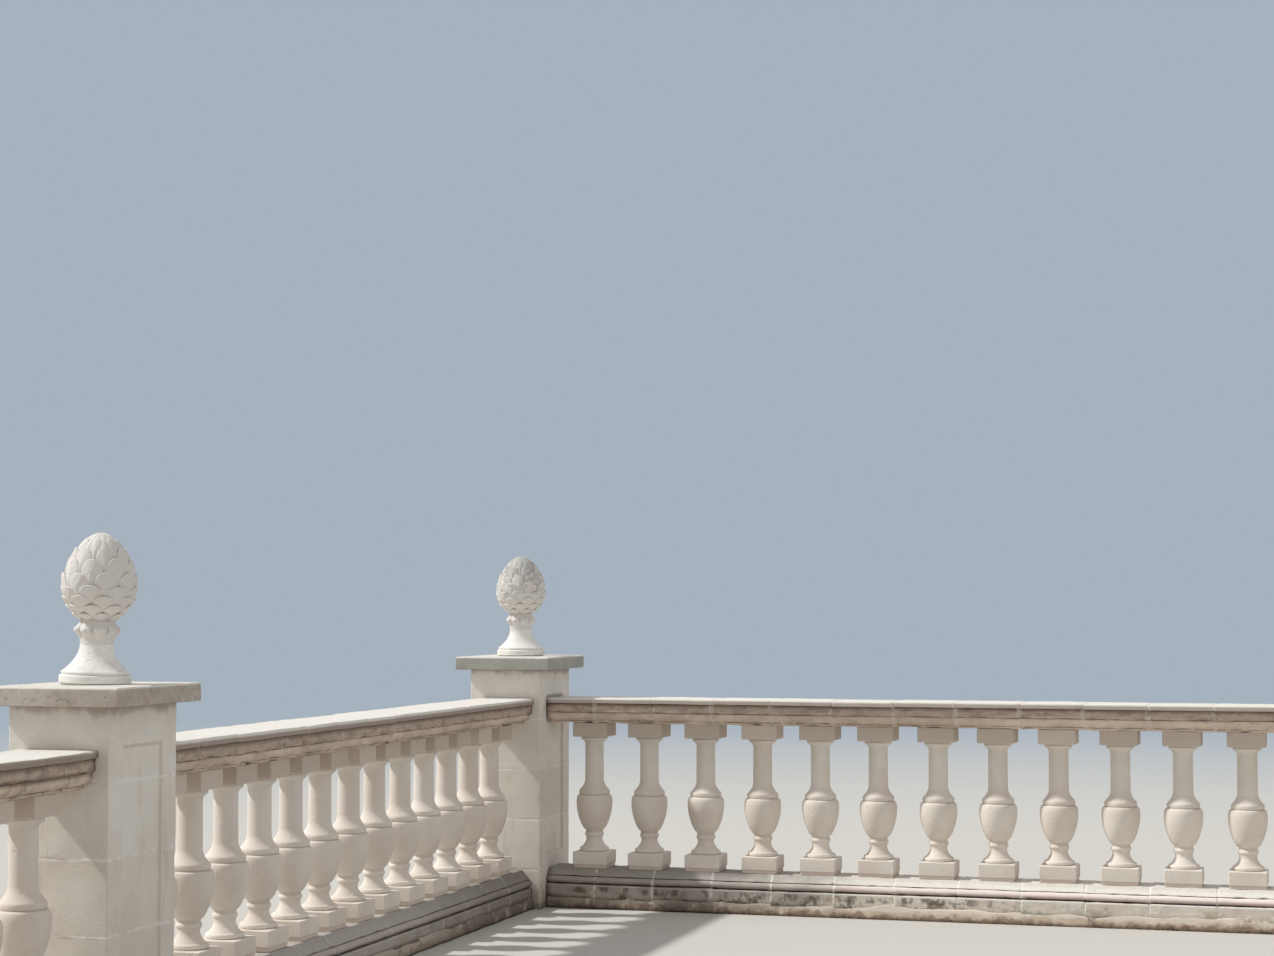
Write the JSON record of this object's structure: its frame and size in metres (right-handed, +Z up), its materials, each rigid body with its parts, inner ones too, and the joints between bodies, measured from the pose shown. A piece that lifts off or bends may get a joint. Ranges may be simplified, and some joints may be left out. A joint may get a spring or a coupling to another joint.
{
  "type": "stone balustrade",
  "caption": "Cast stone terrace balustrade turning a square corner, with turned balusters, moulded rail and plinth, and capped piers under pine-cone finials.",
  "frame": {"origin": "middle of the corner pier at floor level", "axes": "+Z up, +X along the right bay away from the corner pier, -Y along the middle and left bays"},
  "size_m": [4.864, 9.544, 1.7961],
  "materials": {
    "pier_stone": "weathered, matt",
    "cap_stone": "weathered, lichened",
    "finial_stone": "weathered, matt",
    "footing_mortar": "rough, stained",
    "plinth_stone": "weathered, matt",
    "baluster_stone": "smooth, matt",
    "rail_stone": "weathered, matt"
  },
  "bodies": {
    "root": {"corner_pier_shaft": "pier_stone", "corner_pier_cap": "cap_stone", "corner_finial_foot": "finial_stone", "corner_finial_cone": "finial_stone", "left_pier_shaft": "pier_stone", "left_pier_cap": "cap_stone", "left_finial_foot": "finial_stone", "left_finial_cone": "finial_stone", "left_end_pier_shaft": "pier_stone", "left_end_pier_cap": "cap_stone", "left_end_finial_foot": "finial_stone", "left_end_finial_cone": "finial_stone", "right_end_pier_shaft": "pier_stone", "right_end_pier_cap": "cap_stone", "right_end_finial_foot": "finial_stone", "right_end_finial_cone": "finial_stone", "middle_bay_footing": "footing_mortar", "middle_bay_plinth": "plinth_stone", "middle_bay_balusters": "baluster_stone", "middle_bay_handrail": "rail_stone", "left_bay_footing": "footing_mortar", "left_bay_plinth": "plinth_stone", "left_bay_balusters": "baluster_stone", "left_bay_handrail": "rail_stone", "right_bay_footing": "footing_mortar", "right_bay_plinth": "plinth_stone", "right_bay_balusters": "baluster_stone", "right_bay_handrail": "rail_stone"}
  },
  "joints": []
}
